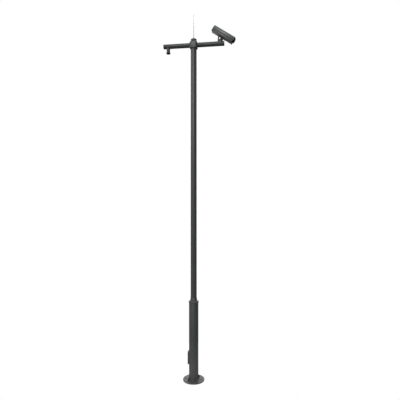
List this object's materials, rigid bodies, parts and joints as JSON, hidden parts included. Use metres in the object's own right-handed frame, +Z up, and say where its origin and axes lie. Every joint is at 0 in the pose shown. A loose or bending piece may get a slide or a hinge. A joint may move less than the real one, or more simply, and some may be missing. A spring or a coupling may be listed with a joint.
{
  "type": "surveillance camera pole",
  "caption": "Stepped steel pole on a bolted base plate, with a door low down and a crossbar on top that carries a camera housing on a pan and tilt bracket, a drop nipple and a lightning rod.",
  "frame": {"origin": "centre of the base plate's underside, on the pole's axis", "axes": "+Z up the pole, +X along the arm that carries the camera, +Y completes the right-handed frame; the door faces -X"},
  "size_m": [1.2994, 0.38, 6.561],
  "materials": {
    "powder_coat": "satin anthracite powder coat",
    "camera_paint": "satin anthracite paint on aluminium",
    "galvanised": "dull hot-dip zinc",
    "stainless": "brushed stainless steel",
    "bright_rod": "bright drawn stainless steel",
    "black_plastic": "black moulded plastic, fine texture",
    "grey_plastic": "grey moulded plastic",
    "white_ceramic": "white terminal plastic",
    "red_plastic": "red fuse carrier plastic",
    "rubber_seal": "black EPDM rubber",
    "brass_earth": "plain brass",
    "window": "dark tinted glass",
    "lens_black": "gloss black lens barrel",
    "camera_case": "light grey painted camera case",
    "sled_aluminium": "plain aluminium"
  },
  "bodies": {
    "pole": {"base_plate": "powder_coat", "base_gussets": "powder_coat", "lower_column": "powder_coat", "door_frame": "powder_coat", "door_gasket": "rubber_seal", "hinge_frame_leaves": "powder_coat", "hinge_pins": "stainless", "equipment_board": "galvanised", "board_spacers": "galvanised", "board_screws": "stainless", "terminal_box": "black_plastic", "terminal_blocks": "white_ceramic", "terminal_cover": "grey_plastic", "fuse_carrier": "red_plastic", "terminal_glands": "black_plastic", "earth_stud": "brass_earth", "earth_nuts": "brass_earth", "centring_ring": "galvanised", "reducer_collar": "powder_coat", "mast_tube": "powder_coat"},
    "door": {"door_panel": "powder_coat", "hinge_door_leaves": "powder_coat", "lock_housing": "stainless", "lock_nut": "stainless"},
    "lock": {"lock_spindle": "galvanised", "lock_cam": "galvanised"},
    "head": {"head_casting": "powder_coat", "head_set_screws": "stainless", "mast_cap": "powder_coat", "cap_screws": "stainless", "rod_nut": "powder_coat", "lightning_rod": "bright_rod", "left_arm": "powder_coat", "right_arm": "powder_coat", "left_end_cap": "black_plastic", "right_end_cap": "black_plastic", "drop_nipple": "powder_coat", "drop_coupling": "black_plastic", "bracket_foot": "powder_coat", "bracket_screws": "stainless"},
    "swivel": {"swivel_yoke": "powder_coat", "pan_lock_nut": "galvanised", "tilt_bolt": "stainless", "tilt_nut": "stainless"},
    "camera": {"tilt_cradle": "powder_coat", "cradle_screws": "stainless", "housing_body": "camera_paint", "front_bezel": "black_plastic", "window_gasket": "rubber_seal", "window_glass": "window", "rear_cover": "black_plastic", "rear_cover_screws": "stainless", "housing_glands": "black_plastic", "camera_sled": "sled_aluminium", "camera_module": "camera_case", "lens_barrel": "lens_black", "sunshield": "camera_paint", "shield_spacers": "galvanised", "shield_screws": "stainless"}
  },
  "joints": [
    {"name": "door_hinge", "type": "hinge", "parent": "pole", "child": "door", "pos_m": [-0.101, 0.057, 0.402], "axis": [0, 0, -1], "range_deg": [0, 120]},
    {"name": "door_lock", "type": "hinge", "parent": "door", "child": "lock", "pos_m": [-0.095, -0.024, 0.402], "axis": [1, 0, 0], "range_deg": [0, 90]},
    {"name": "head_turn", "type": "hinge", "parent": "pole", "child": "head", "pos_m": [0, 0, 5.95], "axis": [0, 0, 1], "range_deg": [-170, 170]},
    {"name": "camera_pan", "type": "hinge", "parent": "head", "child": "swivel", "pos_m": [0.477, 0, 6.05], "axis": [0, 0, 1], "range_deg": [-120, 120]},
    {"name": "camera_tilt", "type": "hinge", "parent": "swivel", "child": "camera", "pos_m": [0.477, 0, 6.085], "axis": [0, 1, 0], "range_deg": [-48, 8]}
  ]
}
